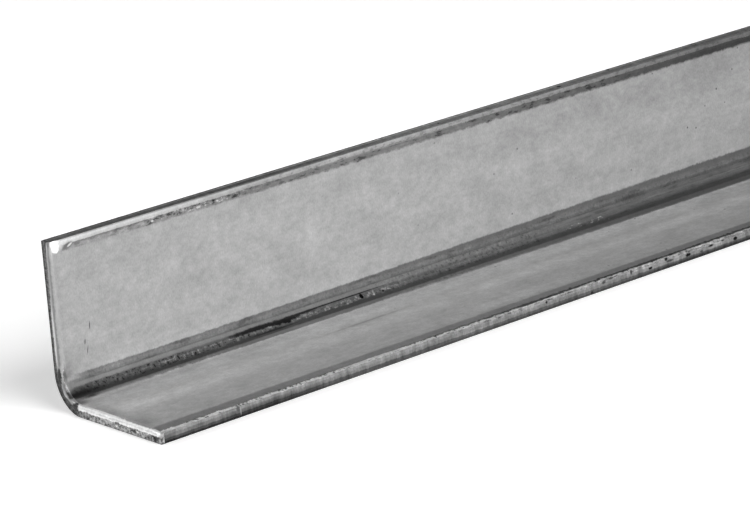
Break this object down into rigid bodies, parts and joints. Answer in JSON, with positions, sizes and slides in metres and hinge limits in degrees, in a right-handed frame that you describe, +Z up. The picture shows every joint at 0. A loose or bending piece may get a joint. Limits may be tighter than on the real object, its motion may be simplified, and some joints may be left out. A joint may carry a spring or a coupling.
{
  "type": "steel angle section",
  "caption": "Equal-leg cold-formed steel angle: a straight length of L-section stock with a rounded heel and sheared ends, for frames, brackets and edging.",
  "frame": {"origin": "centre of the bounding box's base, on the floor under the middle of the bar", "axes": "+X along the bar, -Y from the upright leg towards the flat leg's toe, +Z up the upright leg; the flat leg lies on Z = 0"},
  "size_m": [1, 0.04, 0.04],
  "materials": {
    "steel": "cold-rolled mill finish, bare, satin"
  },
  "bodies": {
    "root": {"steel_angle": "steel"}
  },
  "joints": []
}
